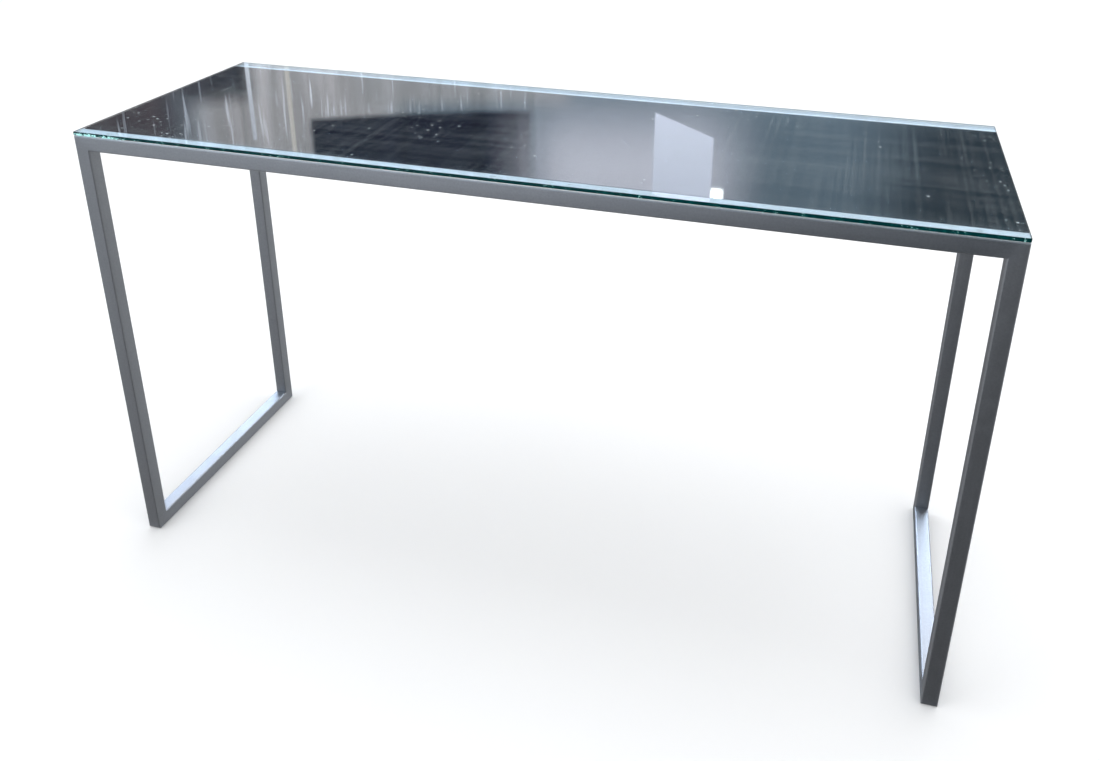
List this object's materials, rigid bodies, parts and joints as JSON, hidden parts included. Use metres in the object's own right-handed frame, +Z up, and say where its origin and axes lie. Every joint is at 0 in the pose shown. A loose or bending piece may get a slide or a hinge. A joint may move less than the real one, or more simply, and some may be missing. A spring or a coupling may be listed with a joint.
{
  "type": "console table",
  "caption": "Long narrow console table: square-tube steel frame on sled bases, dark inset panel and a clear glass top.",
  "frame": {"origin": "on the floor, below the middle of the table", "axes": "+X along the length, to the right seen from the front; +Y to the rear; +Z up"},
  "size_m": [1.43, 0.48, 0.794],
  "materials": {
    "steel": "satin, fine grain along each tube, welds ground flush",
    "glass": "clear float glass with polished green edges",
    "panel": "gloss black",
    "tape": "closed-cell foam tape",
    "bumper": "clear vinyl",
    "felt": "pressed felt"
  },
  "bodies": {
    "root": {"front_rail": "steel", "front_left_leg": "steel", "front_right_leg": "steel", "rear_rail": "steel", "rear_left_leg": "steel", "rear_right_leg": "steel", "left_base_rail": "steel", "left_end_rail": "steel", "left_inner_cross_rail": "steel", "right_base_rail": "steel", "right_end_rail": "steel", "right_inner_cross_rail": "steel", "insert_panel": "panel", "glass_top": "glass", "left_end_panel_tape": "tape", "left_inner_panel_tape": "tape", "right_end_panel_tape": "tape", "right_inner_panel_tape": "tape", "front_left_glass_bumper": "bumper", "front_middle_glass_bumper": "bumper", "front_right_glass_bumper": "bumper", "rear_left_glass_bumper": "bumper", "rear_middle_glass_bumper": "bumper", "rear_right_glass_bumper": "bumper", "front_left_floor_pad": "felt", "front_right_floor_pad": "felt", "rear_left_floor_pad": "felt", "rear_right_floor_pad": "felt"}
  },
  "joints": []
}
